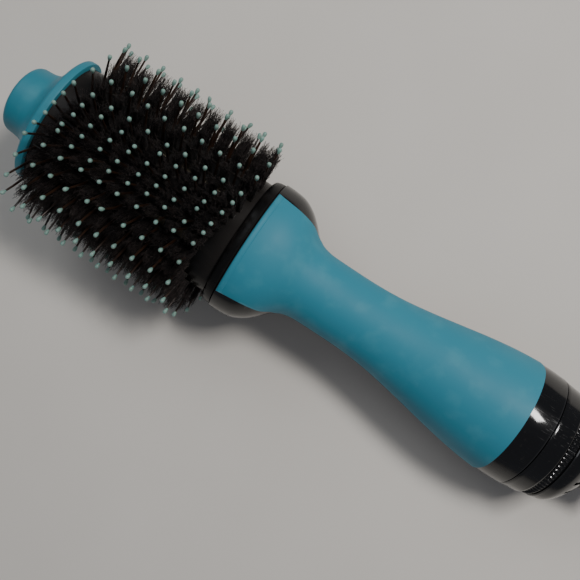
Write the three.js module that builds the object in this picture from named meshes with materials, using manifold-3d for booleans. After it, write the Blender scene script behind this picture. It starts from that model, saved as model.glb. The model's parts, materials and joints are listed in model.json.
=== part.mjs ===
// Hot air brush: oval pin-and-bristle barrel, two-colour handle, rotary speed dial in the tail.
// Millimetres. Inside the tool group X runs from the tail to the tip and +Z is the front face.
import * as THREE from 'three';
import { mergeVertices } from 'three/addons/utils/BufferGeometryUtils.js';
import Module from 'manifold-3d';

const wasm = await Module();
wasm.setup();

// ---- driving dimensions -------------------------------------------------------------------
const GAP = 0.3; // clearance between pieces that touch
const WALL = 2.2; // moulded shell thickness
const SIDES = 28; // facets round an oval shell
const FAR_OUT = 60; // beyond every surface, for cutting tools

// Stations along the tool, tail to tip.
const GLAND_END = 0;
const CAP_START = 24.3;
const DIAL_START = 40.2;
const SHELL_START = 55.6;
const FRONT_SHELL_START = 68.8;
const SHELL_END = 223.5;
const BARREL_START = 229.5;
const BARREL_END = 337.5;
const TIP_END = 362;

// Barrel and its rows of pins.
const BARREL_HALF_WIDTH = 32;
const BARREL_HALF_HEIGHT = 22.5;
const BARREL_WALL = 1.8;
const PIN_LENGTH = 20.5;
const PIN_PITCH = 10.2;
const PINS_PER_ROW = 10;
const PIN_ROOT_RADIUS = 0.7;
const PIN_TIP_RADIUS = 1.15;
const FIRST_PIN = 329.8;
const ROW_STAGGER = 4.6;
const FLAT_ROW_PITCH = 4.25;
const FLAT_ROWS_PER_SIDE = 3;
const SIDE_ROW_ANGLES = [56, 40, 24, 8];
const RAIL = { width: 2.6, height: 1.1, overhang: 1.6 };
const TUFT_LENGTH = 5.4;
const TUFT_WIDTH = 2.2;
const TUFT_REACH = 0.8; // share of the pin length

// Half width and half height of the rear (black) shell along the handle.
const HANDLE_STATIONS = [
  [SHELL_START + GAP, 30.6, 30.6],
  [64, 30.9, 30.6],
  [72, 30.7, 29.9],
  [84, 29.6, 28.6],
  [98, 27.5, 26.7],
  [112, 24.9, 24.1],
  [128, 22.0, 21.0],
  [144, 19.7, 18.7],
  [160, 18.7, 17.6],
  [180, 18.7, 17.7],
  [187, 19.1, 18.3],
  [192, 20.5, 19.4],
  [196, 23.3, 20.9],
  [200, 27.5, 22.6],
  [205, 31.8, 24.5],
  [211, 35.0, 26.0],
  [217, 36.1, 26.6],
  [SHELL_END, 36.3, 26.8],
];

// Half width of the front (mint) shell's plan. Where this is wider than the handle, the two
// shells meet along the side, a little above its middle.
const FRONT_SHELL_OUTLINE = [
  [FRONT_SHELL_START, 26.5],
  [FRONT_SHELL_START + 0.5, 29.0],
  [FRONT_SHELL_START + 1.8, 30.4],
  [FRONT_SHELL_START + 3.7, 31.6],
  [FRONT_SHELL_START + 7.2, 33.0],
  [98, 31.0],
  [128, 25.0],
  [160, 21.5],
  [180, 20.6],
  [187, 20.6],
  [191, 20.9],
  [194, 21.5],
  [196, 22.3],
  [200.7, 25.0],
  [208, 26.5],
  [216, 27.3],
  [SHELL_END - GAP, 28.0],
];
const FRONT_SHELL_PROUD = 0.3;
const SHELL_SPLIT_HEIGHT = 4;
const LIP = { width: 2.2, height: 0.7 };

const TAIL_RADIUS = 30.6;
const DIAL_RADIUS = 30.3;
const DIAL_RIBS = 80;
const HUB_RADIUS = 13.6;
const HUB_BORE = 10.6;
const CORD_BORE = 3.8;
const MOTOR = { start: 81, end: 108, radius: 14 };
const SHAFT = { start: 66.5, end: 111, radius: 1.6 };
const IMPELLER = { start: 67.5, end: 77.5, radius: 21.8, hubRadius: 9, blades: 7, twist: 38 };
const SHROUD = { start: 66, end: 79, radius: 23.6, bore: 22.6 };

// ---- materials ----------------------------------------------------------------------------
const finish = (color, roughness, metalness = 0) =>
  new THREE.MeshStandardMaterial({ color, roughness, metalness });
const MINT = finish(0x8fd3cf, 0.5);
const GLOSS_BLACK = finish(0x101011, 0.2);
const SATIN_BLACK = finish(0x18181a, 0.45);
const BRISTLE = finish(0x231c1a, 0.8);
const INNER_PLASTIC = finish(0x4a4a4c, 0.6);
const STEEL = finish(0xb4b4b8, 0.35, 1);
const COPPER = finish(0xb87333, 0.4, 1);
const MICA = finish(0xcdbb96, 0.7);
const BOARD = finish(0x2f6b3c, 0.6);
const LEAD = finish(0x9a1f1c, 0.5);

// ---- solids -------------------------------------------------------------------------------
function toSolid(geometry) {
  const bare = geometry.clone();
  bare.deleteAttribute('normal');
  bare.deleteAttribute('uv');
  const merged = mergeVertices(bare, 1e-4);
  const vertProperties = new Float32Array(merged.attributes.position.array);
  const triVerts = new Uint32Array(merged.index.array);
  return new wasm.Manifold(new wasm.Mesh({ numProp: 3, vertProperties, triVerts }));
}

function toGeometry(manifold) {
  const mesh = manifold.getMesh();
  const geometry = new THREE.BufferGeometry();
  geometry.setAttribute('position', new THREE.BufferAttribute(mesh.vertProperties, 3));
  geometry.setIndex(new THREE.BufferAttribute(mesh.triVerts, 1));
  return geometry;
}

const unite = (...parts) => toGeometry(parts.map(toSolid).reduce((sum, part) => sum.add(part)));

const cut = (body, ...tools) =>
  toGeometry(tools.map(toSolid).reduce((rest, tool) => rest.subtract(tool), toSolid(body)));

const common = (body, tool) => toGeometry(toSolid(body).intersect(toSolid(tool)));

// A solid of oval rings [x, halfWidth, halfHeight]. A closed list of rings makes a tube wall.
function ovalBody(stations, { tube = false, sides = SIDES } = {}) {
  const positions = [];
  for (const [x, halfWidth, halfHeight] of stations) {
    for (let side = 0; side < sides; side += 1) {
      const angle = (side / sides) * 2 * Math.PI;
      positions.push(x, halfWidth * Math.cos(angle), halfHeight * Math.sin(angle));
    }
  }
  const index = [];
  const ringCount = stations.length;
  const lastStep = tube ? ringCount : ringCount - 1;
  for (let ring = 0; ring < lastStep; ring += 1) {
    const here = ring * sides;
    const next = ((ring + 1) % ringCount) * sides;
    for (let side = 0; side < sides; side += 1) {
      const turn = (side + 1) % sides;
      index.push(here + side, here + turn, next + side);
      index.push(next + side, here + turn, next + turn);
    }
  }
  if (!tube) {
    const last = (ringCount - 1) * sides;
    for (let side = 1; side < sides - 1; side += 1) {
      index.push(0, side + 1, side);
      index.push(last, last + side, last + side + 1);
    }
  }
  const geometry = new THREE.BufferGeometry();
  geometry.setAttribute('position', new THREE.Float32BufferAttribute(positions, 3));
  geometry.setIndex(index);
  return geometry;
}

const round = (stations, options) =>
  ovalBody(stations.map(([x, radius]) => [x, radius, radius]), options);

const grow = (stations, amount) =>
  stations.map(([x, halfWidth, halfHeight]) => [x, halfWidth + amount, halfHeight + amount]);

// A wall that follows the outer stations, with its inside set in by the wall thickness.
function ovalWall(outer, thickness, options = {}) {
  const inner = grow(outer, -thickness).reverse();
  return ovalBody([...outer, ...inner], { ...options, tube: true });
}

function boxBetween(low, high) {
  const size = high.map((value, axis) => value - low[axis]);
  const centre = high.map((value, axis) => (value + low[axis]) / 2);
  return new THREE.BoxGeometry(...size).translate(...centre);
}

const rod = (start, end, radius, sides = 12) => round([[start, radius], [end, radius]], { sides });

const ring = (start, end, outerRadius, innerRadius, sides = SIDES) =>
  round(
    [[start, outerRadius], [end, outerRadius], [end, innerRadius], [start, innerRadius]],
    { tube: true, sides },
  );

// The plan of the front shell as a tall prism, grown sideways, downward and at both ends.
function frontShellPrism(margin) {
  const outline = FRONT_SHELL_OUTLINE.map(([x, half]) => [x, half + margin]);
  outline[0][0] -= margin;
  outline[outline.length - 1][0] += margin;
  const plan = new THREE.Shape();
  outline.forEach(([x, half], index) => (index ? plan.lineTo(x, half) : plan.moveTo(x, half)));
  [...outline].reverse().forEach(([x, half]) => plan.lineTo(x, -half));
  const prism = new THREE.ExtrudeGeometry(plan, { depth: FAR_OUT, bevelEnabled: false });
  return prism.translate(0, 0, SHELL_SPLIT_HEIGHT - margin);
}

// ---- barrel and cool tip ------------------------------------------------------------------
function coolTip() {
  const recessRadius = 11;
  return ovalBody([
    [TIP_END - 3.5, recessRadius, recessRadius],
    [BARREL_END + GAP, recessRadius + 1, recessRadius + 1],
    [BARREL_END + GAP, 34.6, 24.2],
    [BARREL_END + 3.6, 34.6, 24.2],
    [BARREL_END + 5.0, 33.2, 23.2],
    [BARREL_END + 6.8, 27.4, 21.4],
    [BARREL_END + 10.0, 21.2, 19.3],
    [BARREL_END + 14.6, 18.8, 18.6],
    [BARREL_END + 21.8, 18.0, 18.0],
    [TIP_END, 13.6, 13.6],
  ]);
}

const VENT = { count: 5, first: BARREL_START + 16, pitch: 16, length: 11, width: 3.2, offset: 14.2 };

const ventSlots = [];
for (let slot = 0; slot < VENT.count; slot += 1) {
  const start = VENT.first + slot * VENT.pitch;
  for (const side of [-1, 1]) {
    const near = side * VENT.offset - VENT.width / 2;
    const far = near + VENT.width;
    ventSlots.push(boxBetween([start, near, -FAR_OUT], [start + VENT.length, far, FAR_OUT]));
  }
}

function barrelHalf(side) {
  const stations = [
    [BARREL_START + GAP, BARREL_HALF_WIDTH, BARREL_HALF_HEIGHT],
    [BARREL_END, BARREL_HALF_WIDTH, BARREL_HALF_HEIGHT],
  ];
  const wall = ovalWall(stations, BARREL_WALL, { sides: 40 });
  const low = side > 0 ? GAP / 2 : -FAR_OUT;
  const high = side > 0 ? FAR_OUT : -GAP / 2;
  const half = boxBetween([0, -FAR_OUT, low], [TIP_END, FAR_OUT, high]);
  return cut(common(wall, half), ...ventSlots);
}

// Row positions round the barrel: three close rows each side of the flat faces, four on each flank.
function bristleRows() {
  const flat = [];
  for (let row = 0; row < FLAT_ROWS_PER_SIDE; row += 1) {
    const offset = (row + 0.5) * FLAT_ROW_PITCH;
    flat.push({ angle: Math.acos(offset / BARREL_HALF_WIDTH), flat: true });
  }
  const flank = SIDE_ROW_ANGLES.map((degrees) => ({
    angle: THREE.MathUtils.degToRad(degrees),
    flat: false,
  }));
  const quarter = [...flank, ...flat.reverse()];
  const upper = [...quarter];
  [...quarter].reverse().forEach((row) => upper.push({ ...row, angle: Math.PI - row.angle }));
  const lower = upper.map((row) => ({ ...row, angle: row.angle + Math.PI }));
  return [...upper, ...lower];
}

// Root point and outward direction of a row; the flat rows are trimmed to one level.
function rowPlace({ angle, flat }) {
  const y = BARREL_HALF_WIDTH * Math.cos(angle);
  const z = BARREL_HALF_HEIGHT * Math.sin(angle);
  const outward = new THREE.Vector2(y / BARREL_HALF_WIDTH ** 2, z / BARREL_HALF_HEIGHT ** 2);
  outward.normalize();
  const level = BARREL_HALF_HEIGHT + PIN_LENGTH;
  const length = flat ? (level - Math.abs(z)) / Math.abs(outward.y) : PIN_LENGTH;
  const firstPin = FIRST_PIN + ROW_STAGGER * Math.sin(2 * angle);
  return { y, z, outward, length, firstPin };
}

// One row before it is turned into place: rail along X, pins and bristle standing along +Z.
// The soft tufts between the pins are one plain block.
function bristleRow(place) {
  const rowLength = (PINS_PER_ROW - 1) * PIN_PITCH;
  const rail = boxBetween(
    [-rowLength - RAIL.overhang, -RAIL.width / 2, GAP],
    [RAIL.overhang, RAIL.width / 2, GAP + RAIL.height],
  );
  const root = GAP + RAIL.height / 2;
  const blockEnd = (PIN_PITCH - TUFT_LENGTH) / 2;
  const block = boxBetween(
    [blockEnd - rowLength, -TUFT_WIDTH / 2, root],
    [-blockEnd, TUFT_WIDTH / 2, place.length * TUFT_REACH],
  );
  const pieces = [rail, block];
  for (let pin = 0; pin < PINS_PER_ROW; pin += 1) {
    const shaft = new THREE.CylinderGeometry(
      PIN_TIP_RADIUS, PIN_ROOT_RADIUS, place.length - PIN_TIP_RADIUS - root, 3, 1,
    );
    shaft.rotateX(Math.PI / 2);
    shaft.translate(-pin * PIN_PITCH, 0, (place.length - PIN_TIP_RADIUS + root) / 2);
    const ball = new THREE.ConeGeometry(PIN_TIP_RADIUS, PIN_TIP_RADIUS, 3, 1);
    ball.rotateX(Math.PI / 2);
    ball.translate(-pin * PIN_PITCH, 0, place.length - PIN_TIP_RADIUS / 2);
    pieces.push(shaft, ball);
  }
  return unite(...pieces);
}

// ---- neck and handle shells ---------------------------------------------------------------
function neckCollar() {
  return ovalBody([
    [SHELL_END + GAP, 35.5, 26.2],
    [BARREL_START - 2.5, 35.2, 25.7],
    [BARREL_START, 33.8, 24.3],
    [BARREL_START, 31.0, 21.6],
    [SHELL_END + GAP, 31.0, 21.6],
  ], { tube: true });
}

// Half height of the handle at a station along it.
function halfHeightAt(x) {
  const after = HANDLE_STATIONS.findIndex(([station]) => station > x);
  const [x0, , low] = HANDLE_STATIONS[after - 1];
  const [x1, , high] = HANDLE_STATIONS[after];
  return THREE.MathUtils.mapLinear(x, x0, x1, low, high);
}

const SCREW = { headRadius: 2.6, shankRadius: 1.3, bossRadius: 3.4, headHeight: 2, reach: 9 };
const SCREW_SINK = 1.4;
const BOSS_BOTTOM = 6;
const BOSS_BITE = 0.9; // how far a boss reaches into the front shell's wall
const screwPlaces = [118, 176].map((x) => ({
  x,
  bottom: SCREW_SINK - halfHeightAt(x),
  top: halfHeightAt(x) - WALL + BOSS_BITE,
}));

function upright(x, low, high, radius, sides = 16) {
  const post = new THREE.CylinderGeometry(radius, radius, high - low, sides);
  return post.rotateX(Math.PI / 2).translate(x, 0, (low + high) / 2);
}

function frontShell() {
  const proud = grow(HANDLE_STATIONS, FRONT_SHELL_PROUD);
  const end = proud.pop();
  const [endX, endWidth, endHeight] = end;
  const lipStart = endX - LIP.width;
  const outer = [
    ...proud,
    [lipStart - 0.4, endWidth, endHeight],
    [lipStart, endWidth + LIP.height, endHeight + LIP.height],
    [endX, endWidth + LIP.height, endHeight + LIP.height],
  ];
  const inner = grow([...HANDLE_STATIONS], -WALL).reverse();
  const wall = ovalBody([...outer, ...inner], { tube: true });
  const skin = common(wall, frontShellPrism(0));
  const bosses = screwPlaces.map(({ x, bottom, top }) =>
    upright(x, bottom + BOSS_BOTTOM, top, SCREW.bossRadius));
  const pilots = screwPlaces.map(({ x, bottom }) =>
    upright(x, bottom, bottom + BOSS_BOTTOM + SCREW.reach, SCREW.shankRadius + GAP));
  return cut(unite(skin, ...bosses), ...pilots);
}

function rearShell() {
  const wall = ovalWall(HANDLE_STATIONS, WALL);
  const open = cut(wall, frontShellPrism(GAP));
  const holes = screwPlaces.map(({ x }) => upright(x, -FAR_OUT, -BOSS_BOTTOM, SCREW.headRadius + GAP));
  return cut(open, ...holes);
}

function shellScrew({ x, bottom }) {
  const head = upright(x, bottom, bottom + SCREW.headHeight, SCREW.headRadius);
  const shank = upright(x, bottom + 1, bottom + 4 + SCREW.reach, SCREW.shankRadius, 8);
  return unite(head, shank);
}

// ---- tail: dial, intake, swivel -----------------------------------------------------------
// Rotary switch ring: smooth barrel with a ribbed grip at its rear.
const GRIP = { start: DIAL_START + 0.4, width: 3.9, crest: 2.4, root: 3.2, bore: 4.9 };

function speedDial() {
  const end = SHELL_START - GAP;
  const body = round([
    [DIAL_START, DIAL_RADIUS - 3.9],
    [DIAL_START + 4.2, DIAL_RADIUS - 3.9],
    [DIAL_START + 4.5, DIAL_RADIUS - 1.9],
    [DIAL_START + 6.2, DIAL_RADIUS - 0.8],
    [end, DIAL_RADIUS],
    [end, DIAL_RADIUS - 2.0],
    [DIAL_START + 7, DIAL_RADIUS - 2.8],
    [DIAL_START + 5, DIAL_RADIUS - 5.8],
    [DIAL_START, DIAL_RADIUS - 5.8],
  ], { tube: true });
  return unite(body, dialGrip());
}

function dialGrip() {
  const ribs = new THREE.Shape();
  for (let point = 0; point < 2 * DIAL_RIBS; point += 1) {
    const angle = (point / DIAL_RIBS) * Math.PI;
    const radius = DIAL_RADIUS - (point % 2 ? GRIP.root : GRIP.crest);
    ribs[point ? 'lineTo' : 'moveTo'](radius * Math.cos(angle), radius * Math.sin(angle));
  }
  const bore = new THREE.Path();
  bore.absarc(0, 0, DIAL_RADIUS - GRIP.bore, 0, 2 * Math.PI);
  ribs.holes.push(bore);
  const options = { depth: GRIP.width, curveSegments: 8, bevelEnabled: false };
  const grip = new THREE.ExtrudeGeometry(ribs, options);
  return grip.rotateY(Math.PI / 2).translate(GRIP.start, 0, 0);
}

const INTAKE = { slots: 20, width: 2, inner: 17.4, outer: 24, depth: 9.8 };
const FILTER = { start: CAP_START + 10.5, end: CAP_START + 11.3, radius: 21.8 };

// Domed end cap with the radial air intake slots.
function intakeCover() {
  const end = DIAL_START - GAP;
  const body = round([
    [CAP_START, HUB_RADIUS + GAP],
    [CAP_START + 0.4, 15.4],
    [CAP_START + 2.2, 18.2],
    [CAP_START + 4.6, 21.6],
    [CAP_START + 7.4, 24.6],
    [CAP_START + 10.6, 26.7],
    [end, 27.6],
    [end, 25.4],
    [CAP_START + 11.2, 24.4],
    [CAP_START + 7.4, 21.8],
    [CAP_START + 3.4, HUB_RADIUS + GAP],
  ], { tube: true, sides: INTAKE.slots });
  const slots = [];
  for (let slot = 0; slot < INTAKE.slots; slot += 1) {
    const opening = boxBetween(
      [CAP_START - 1, -INTAKE.width / 2, INTAKE.inner],
      [CAP_START + INTAKE.depth, INTAKE.width / 2, INTAKE.outer],
    );
    slots.push(opening.rotateX(((slot + 0.5) / INTAKE.slots) * 2 * Math.PI));
  }
  return cut(body, ...slots);
}

const intakeFilter = () =>
  ring(FILTER.start, FILTER.end, FILTER.radius, HUB_RADIUS + GAP, INTAKE.slots);

// The finger that the dial carries to the switch, at the bottom of the tail.
const FINGER = { bottom: 27.0, top: 23.0, halfWidth: 2, start: 50, end: SHELL_START + 5.6 };

function switchFinger() {
  return boxBetween(
    [FINGER.start, -FINGER.halfWidth, -FINGER.bottom],
    [FINGER.end, FINGER.halfWidth, -FINGER.top],
  );
}

// Fixed tube that carries the swivel, the cover and the dial, on four arms from the shell.
const HUB_END = SHELL_START + 5;
const ARM = { angles: [15, 75, 135, 195], start: SHELL_START + 1, length: 3, halfWidth: 2, reach: 27.9 };

function tailHub() {
  const tube = ring(CAP_START + 0.6, HUB_END, HUB_RADIUS, HUB_BORE, 20);
  const arms = ARM.angles.map((degrees) => {
    const arm = boxBetween(
      [ARM.start, -ARM.halfWidth, (HUB_RADIUS + HUB_BORE) / 2],
      [ARM.start + ARM.length, ARM.halfWidth, ARM.reach],
    );
    return arm.rotateX(THREE.MathUtils.degToRad(degrees - 90));
  });
  return unite(tube, ...arms);
}

function swivelGland() {
  const base = CAP_START - GAP;
  const end = HUB_END + 3.5;
  return round([
    [GLAND_END, 7.6],
    [GLAND_END + 1.5, 8.8],
    [GLAND_END + 9, 9.6],
    [GLAND_END + 19, 10.4],
    [base - 1.6, 12.6],
    [base, 12.9],
    [base, HUB_BORE - GAP],
    [end, HUB_BORE - GAP],
    [end, CORD_BORE],
    [GLAND_END, CORD_BORE],
  ], { tube: true, sides: 20 });
}

function glandClip() {
  return ring(HUB_END + GAP, HUB_END + 2, HUB_RADIUS - 0.4, HUB_BORE, 20);
}

// Arc of contact plate that the finger sweeps along.
const SWITCH = { thickness: 4, radius: 27.4, bore: 21.6, top: -7 };

function switchBody() {
  const start = FINGER.end + GAP;
  const plate = ring(start, start + SWITCH.thickness, SWITCH.radius, SWITCH.bore);
  return common(plate, boxBetween([0, -FAR_OUT, -FAR_OUT], [TIP_END, FAR_OUT, SWITCH.top]));
}

// ---- fan and motor ------------------------------------------------------------------------
const fanShroud = () => ring(SHROUD.start, SHROUD.end, SHROUD.radius, SHROUD.bore);

function impeller() {
  const hub = ring(IMPELLER.start, IMPELLER.end, IMPELLER.hubRadius, SHAFT.radius + GAP, 14);
  const root = IMPELLER.hubRadius - 0.6;
  const blades = [];
  for (let blade = 0; blade < IMPELLER.blades; blade += 1) {
    const plate = new THREE.BoxGeometry(1.3, 11, IMPELLER.radius - root);
    plate.rotateZ(THREE.MathUtils.degToRad(IMPELLER.twist));
    plate.translate((IMPELLER.start + IMPELLER.end) / 2, 0, (IMPELLER.radius + root) / 2);
    blades.push(plate.rotateX((blade / IMPELLER.blades) * 2 * Math.PI));
  }
  return unite(hub, ...blades);
}

const motorCan = () => ring(MOTOR.start, MOTOR.end, MOTOR.radius, SHAFT.radius + GAP, 24);
const motorShaft = () => rod(SHAFT.start, SHAFT.end, SHAFT.radius, 10);

const HOLDER = { start: 84, vaneStart: 90, end: 105, sleeve: 16, rim: 21.2, rimBore: 19.8, vanes: 6 };

function motorHolder() {
  const sleeve = ring(HOLDER.start, HOLDER.end, HOLDER.sleeve, MOTOR.radius + GAP + 0.2, 16);
  const rim = ring(HOLDER.vaneStart, HOLDER.end, HOLDER.rim, HOLDER.rimBore, 16);
  const vanes = [];
  for (let vane = 0; vane < HOLDER.vanes; vane += 1) {
    const blade = boxBetween(
      [HOLDER.vaneStart, -0.8, HOLDER.sleeve - 1],
      [HOLDER.end, 0.8, HOLDER.rimBore + 0.8],
    );
    vanes.push(blade.rotateX(((vane + 0.5) / HOLDER.vanes) * 2 * Math.PI));
  }
  return unite(sleeve, rim, ...vanes);
}

// Circuit board with its diode bridge soldered on.
const BOARD_PLACE = { start: 124, end: 150, halfWidth: 9, bottom: -3.6, top: -2 };
const BRIDGE = { start: 140, end: 147, halfWidth: 5, top: 2.6 };
const CAPACITOR = { start: 126, end: 137, radius: 3.4 };

function rectifierBoard() {
  const board = boxBetween(
    [BOARD_PLACE.start, -BOARD_PLACE.halfWidth, BOARD_PLACE.bottom],
    [BOARD_PLACE.end, BOARD_PLACE.halfWidth, BOARD_PLACE.top],
  );
  const bridge = boxBetween(
    [BRIDGE.start, -BRIDGE.halfWidth, BOARD_PLACE.top - 0.4],
    [BRIDGE.end, BRIDGE.halfWidth, BRIDGE.top],
  );
  return unite(board, bridge);
}

const filterCapacitor = () =>
  rod(CAPACITOR.start, CAPACITOR.end, CAPACITOR.radius, 14)
    .translate(0, 0, BOARD_PLACE.top + CAPACITOR.radius + GAP);

// ---- heater -------------------------------------------------------------------------------
const HEATER = { start: 226, end: 296, halfWidth: 19, halfHeight: 12.5 };
const MICA_HALF = 0.4; // half thickness of the mica boards
const COIL = { turns: 5, inset: 6, clearance: 1.5, radius: 0.6 };
const SLEEVE = { halfWidth: 23.4, halfHeight: 17, wall: 0.6 };

const micaBoard = () => boxBetween(
  [HEATER.start, -HEATER.halfWidth, -MICA_HALF],
  [HEATER.end, HEATER.halfWidth, MICA_HALF],
);

function micaFin(side) {
  const near = side * (MICA_HALF + GAP);
  const far = side * HEATER.halfHeight;
  return boxBetween(
    [HEATER.start, -MICA_HALF, Math.min(near, far)],
    [HEATER.end, MICA_HALF, Math.max(near, far)],
  );
}

class OvalHelix extends THREE.Curve {
  getPoint(t) {
    const angle = t * COIL.turns * 2 * Math.PI;
    const x = THREE.MathUtils.lerp(HEATER.start + COIL.inset, HEATER.end - COIL.inset, t);
    const y = (HEATER.halfWidth + COIL.clearance) * Math.cos(angle);
    const z = (HEATER.halfHeight + COIL.clearance) * Math.sin(angle);
    return new THREE.Vector3(x, y, z);
  }
}

function heatingCoil() {
  const wire = new THREE.Shape();
  wire.absarc(0, 0, COIL.radius, 0, 2 * Math.PI);
  return new THREE.ExtrudeGeometry(wire, {
    extrudePath: new OvalHelix(),
    steps: 50,
    curveSegments: 2,
    bevelEnabled: false,
  });
}

function micaSleeve() {
  const stations = [HEATER.start - 1, HEATER.end + 1].map((x) =>
    [x, SLEEVE.halfWidth, SLEEVE.halfHeight]);
  return ovalWall(stations, SLEEVE.wall, { sides: 24 });
}

const thermostat = () => rod(HEATER.end + 3, HEATER.end + 8, 5, 16).translate(0, 7, 0);
const thermalFuse = () => rod(HEATER.end + 3, HEATER.end + 14, 1.7, 10).translate(0, -8, 0);

// Insulated lead that runs beside the motor from the switch to the heater.
const LEAD_ROUTE = [
  [67.4, 25.1, -6.5],
  [72, 25.3, -4.5],
  [80, 25.1, -4.5],
  [88, 15.8, -8.9],
  [107, 15.4, -8.9],
  [120, 12.6, -6],
  [150, 12, 3],
  [186, 9, 2.5],
  [HEATER.start - 2, 8, 3],
];
const LEAD_RADIUS = 0.9;

function innerLead(side) {
  const points = LEAD_ROUTE.map(([x, y, z]) => new THREE.Vector3(x, side * y, z));
  const core = new THREE.Shape();
  core.absarc(0, 0, LEAD_RADIUS, 0, 2 * Math.PI);
  return new THREE.ExtrudeGeometry(core, {
    extrudePath: new THREE.CatmullRomCurve3(points),
    steps: 18,
    curveSegments: 3,
    bevelEnabled: false,
  });
}

// ---- assembly -----------------------------------------------------------------------------
const tool = new THREE.Group();

function add(name, geometry, material) {
  const mesh = new THREE.Mesh(geometry, material);
  mesh.name = name;
  tool.add(mesh);
  return mesh;
}

add('cool_tip', coolTip(), MINT);
add('barrel_upper', barrelHalf(1), SATIN_BLACK);
add('barrel_lower', barrelHalf(-1), SATIN_BLACK);
bristleRows().forEach((row, index) => {
  const place = rowPlace(row);
  const number = String(index + 1).padStart(2, '0');
  const mesh = add(`bristle_row_${number}`, bristleRow(place), BRISTLE);
  mesh.position.set(place.firstPin, place.y, place.z);
  mesh.rotation.x = Math.atan2(place.outward.y, place.outward.x) - Math.PI / 2;
});
add('neck_collar', neckCollar(), SATIN_BLACK);
add('front_shell', frontShell(), MINT);
add('rear_shell', rearShell(), GLOSS_BLACK);
screwPlaces.forEach((place, index) => add(`shell_screw_${index + 1}`, shellScrew(place), STEEL));
add('speed_dial', speedDial(), GLOSS_BLACK);
add('intake_cover', intakeCover(), GLOSS_BLACK);
add('intake_filter', intakeFilter(), STEEL);
add('switch_finger', switchFinger(), INNER_PLASTIC);
add('tail_hub', tailHub(), INNER_PLASTIC);
add('swivel_gland', swivelGland(), SATIN_BLACK);
add('gland_clip', glandClip(), STEEL);
add('switch_body', switchBody(), INNER_PLASTIC);
add('fan_shroud', fanShroud(), INNER_PLASTIC);
add('impeller', impeller(), INNER_PLASTIC);
add('motor_can', motorCan(), STEEL);
add('motor_shaft', motorShaft(), STEEL);
add('motor_holder', motorHolder(), INNER_PLASTIC);
add('rectifier_board', rectifierBoard(), BOARD);
add('filter_capacitor', filterCapacitor(), STEEL);
add('mica_board', micaBoard(), MICA);
add('mica_fin_upper', micaFin(1), MICA);
add('mica_fin_lower', micaFin(-1), MICA);
add('heating_coil', heatingCoil(), COPPER);
add('mica_sleeve', micaSleeve(), MICA);
add('thermostat', thermostat(), STEEL);
add('thermal_fuse', thermalFuse(), STEEL);
add('inner_lead_left', innerLead(1), LEAD);
add('inner_lead_right', innerLead(-1), LEAD);

// The brush lies on the rear edge of its shell and on the ring of pins nearest the neck.
const nearestPin = FIRST_PIN - (PINS_PER_ROW - 1) * PIN_PITCH - ROW_STAGGER;
const drop = BARREL_HALF_HEIGHT + PIN_LENGTH - TAIL_RADIUS;
tool.rotation.y = -Math.atan2(drop, nearestPin - SHELL_START);

const brush = new THREE.Group();
brush.add(tool);
brush.updateMatrixWorld(true);
const bounds = new THREE.Box3().setFromObject(tool, true);
tool.position.set(
  -(bounds.min.x + bounds.max.x) / 2,
  -(bounds.min.y + bounds.max.y) / 2,
  -bounds.min.z,
);

export default brush;
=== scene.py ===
"""Hot air brush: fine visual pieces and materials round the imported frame."""
import json
import math
import random

import bpy
import numpy as np
from mathutils import Matrix, Vector, noise


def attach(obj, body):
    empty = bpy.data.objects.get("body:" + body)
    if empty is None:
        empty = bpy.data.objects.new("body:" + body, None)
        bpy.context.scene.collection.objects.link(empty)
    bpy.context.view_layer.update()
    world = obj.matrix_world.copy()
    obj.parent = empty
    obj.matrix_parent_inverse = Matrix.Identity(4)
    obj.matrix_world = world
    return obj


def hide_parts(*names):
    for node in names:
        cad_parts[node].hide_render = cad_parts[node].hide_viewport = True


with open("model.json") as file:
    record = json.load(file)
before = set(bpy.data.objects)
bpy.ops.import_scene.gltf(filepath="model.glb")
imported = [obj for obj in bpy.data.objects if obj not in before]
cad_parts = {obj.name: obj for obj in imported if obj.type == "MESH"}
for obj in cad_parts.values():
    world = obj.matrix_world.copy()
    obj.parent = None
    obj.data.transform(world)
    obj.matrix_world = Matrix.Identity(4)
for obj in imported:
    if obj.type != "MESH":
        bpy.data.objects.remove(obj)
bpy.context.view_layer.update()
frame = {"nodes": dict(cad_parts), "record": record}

MM = 0.001

# ---- the tool's own frame: millimetres, X from the cord end to the tip, +Z out of the front face
MOUNTS = {mount["name"]: mount for mount in frame["record"]["mounts"]}
TIP = Vector(MOUNTS["tip_face"]["pos_m"])
AXIS = Vector(MOUNTS["tip_face"]["axis"]).normalized()
TAIL = Vector(MOUNTS["cord_entry_face"]["pos_m"])
LENGTH = (TIP - TAIL).dot(AXIS)
SIDEWAYS = Vector((0, 1, 0))
TOOL = Matrix((AXIS, SIDEWAYS, AXIS.cross(SIDEWAYS))).transposed().to_4x4()
TOOL.translation = TIP - AXIS * LENGTH
TO_ROW = TOOL @ Matrix.Scale(MM, 4)

# Stations along the tool, in millimetres.
CAP_START = 24.3
DIAL_START = 40.2
SHELL_START = 55.6
FRONT_SHELL_START = 68.8
SHELL_END = 223.5
BARREL_START = 229.5
BARREL_END = 337.5
TIP_END = 362
GAP = 0.3
WALL = 2.2

OVAL_SIDES = 128

BARREL_HALF_WIDTH = 32
BARREL_HALF_HEIGHT = 22.5
BARREL_WALL = 1.8
PIN_LENGTH = 20.5
PIN_PITCH = 10.2
PINS_PER_ROW = 10
FIRST_PIN = 329.8
ROW_STAGGER = 4.6
FLAT_ROW_PITCH = 4.25
FLAT_ROWS_PER_SIDE = 3
SIDE_ROW_ANGLES = (56, 40, 24, 8)
ROW_NODES = [f"bristle_row_{number:02d}" for number in range(1, 29)]

HUB_RADIUS = 13.6
HUB_BORE = 10.6
CORD_BORE = 3.8
DIAL_RADIUS = 30.3

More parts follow.
